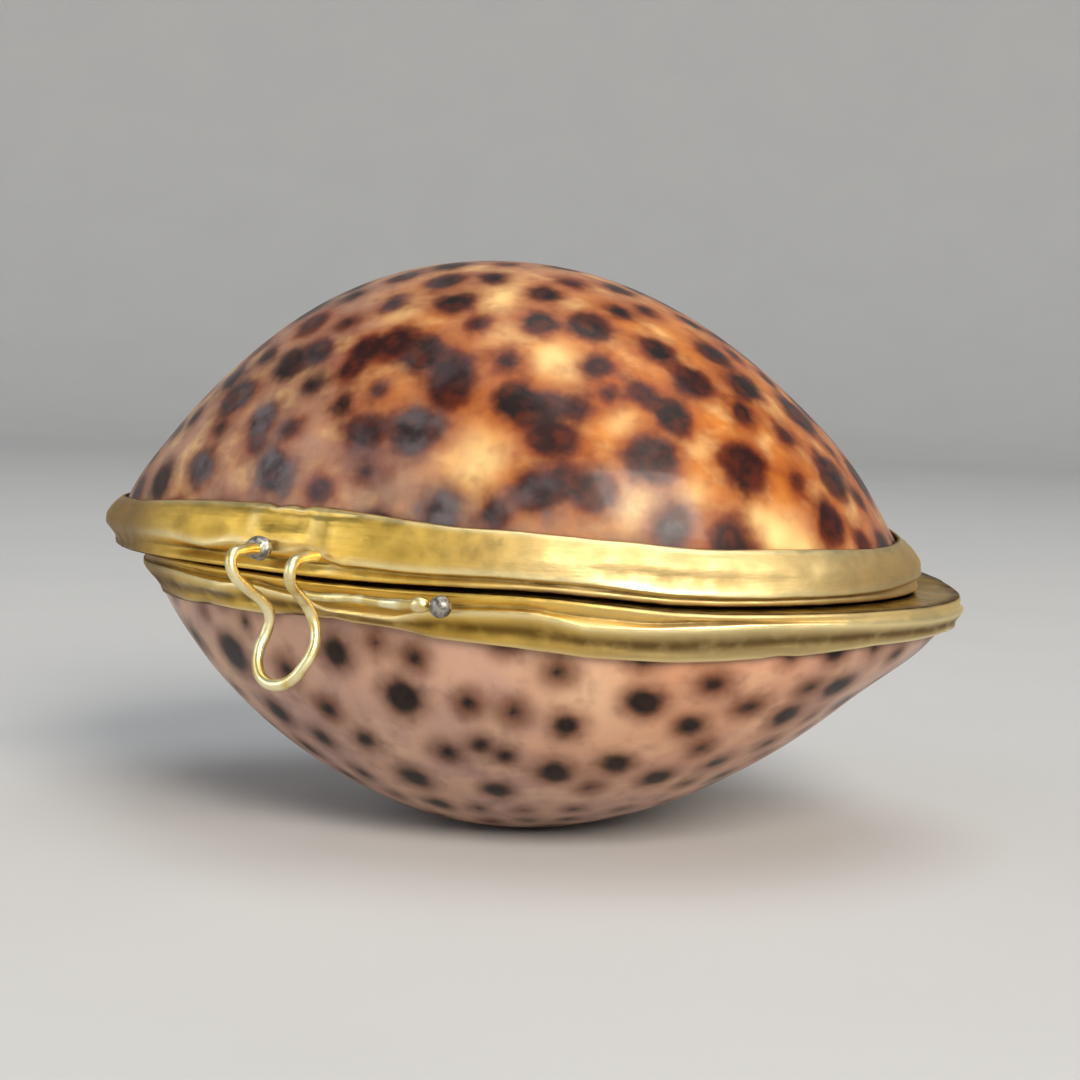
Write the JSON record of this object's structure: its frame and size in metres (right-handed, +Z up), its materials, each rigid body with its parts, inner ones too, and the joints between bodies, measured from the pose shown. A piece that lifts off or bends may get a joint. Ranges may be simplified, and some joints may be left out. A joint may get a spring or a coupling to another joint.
{
  "type": "shell box",
  "caption": "Small hinged trinket box of two spotted cowrie shell halves in hand-wrought brass rims, closed by a bent wire loop over a catch wire.",
  "frame": {"origin": "middle of the small flat spot on the underside that the box rests on", "axes": "+X along the box's long axis, +Z up, -Y the front with the clasp, +Y the back with the hinge"},
  "size_m": [0.0882, 0.0683, 0.0562],
  "materials": {
    "dark_shell": "polished amber-brown cowrie shell with dark blotches",
    "pale_shell": "polished pinkish-beige cowrie shell with dark spots",
    "wrought_brass": "hand-wrought sheet brass, satin, slightly tarnished",
    "brass_wire": "drawn brass wire",
    "hinge_brass": "satin brass",
    "solder": "dull grey tin solder"
  },
  "bodies": {
    "base": {"lower_shell": "pale_shell", "lower_rim": "wrought_brass", "catch_wire": "brass_wire", "catch_bead": "brass_wire", "catch_solder": "solder", "hinge_leaf_lower": "hinge_brass", "hinge_pin": "brass_wire"},
    "lid": {"upper_shell": "dark_shell", "upper_rim": "wrought_brass", "clasp_loop": "brass_wire", "clasp_solder": "solder", "hinge_leaf_upper": "hinge_brass"}
  },
  "joints": [
    {"name": "lid_hinge", "type": "hinge", "parent": "base", "child": "lid", "pos_m": [0, 0.03295, 0.02605], "axis": [-1, 0, 0], "range_deg": [0, 100]}
  ]
}
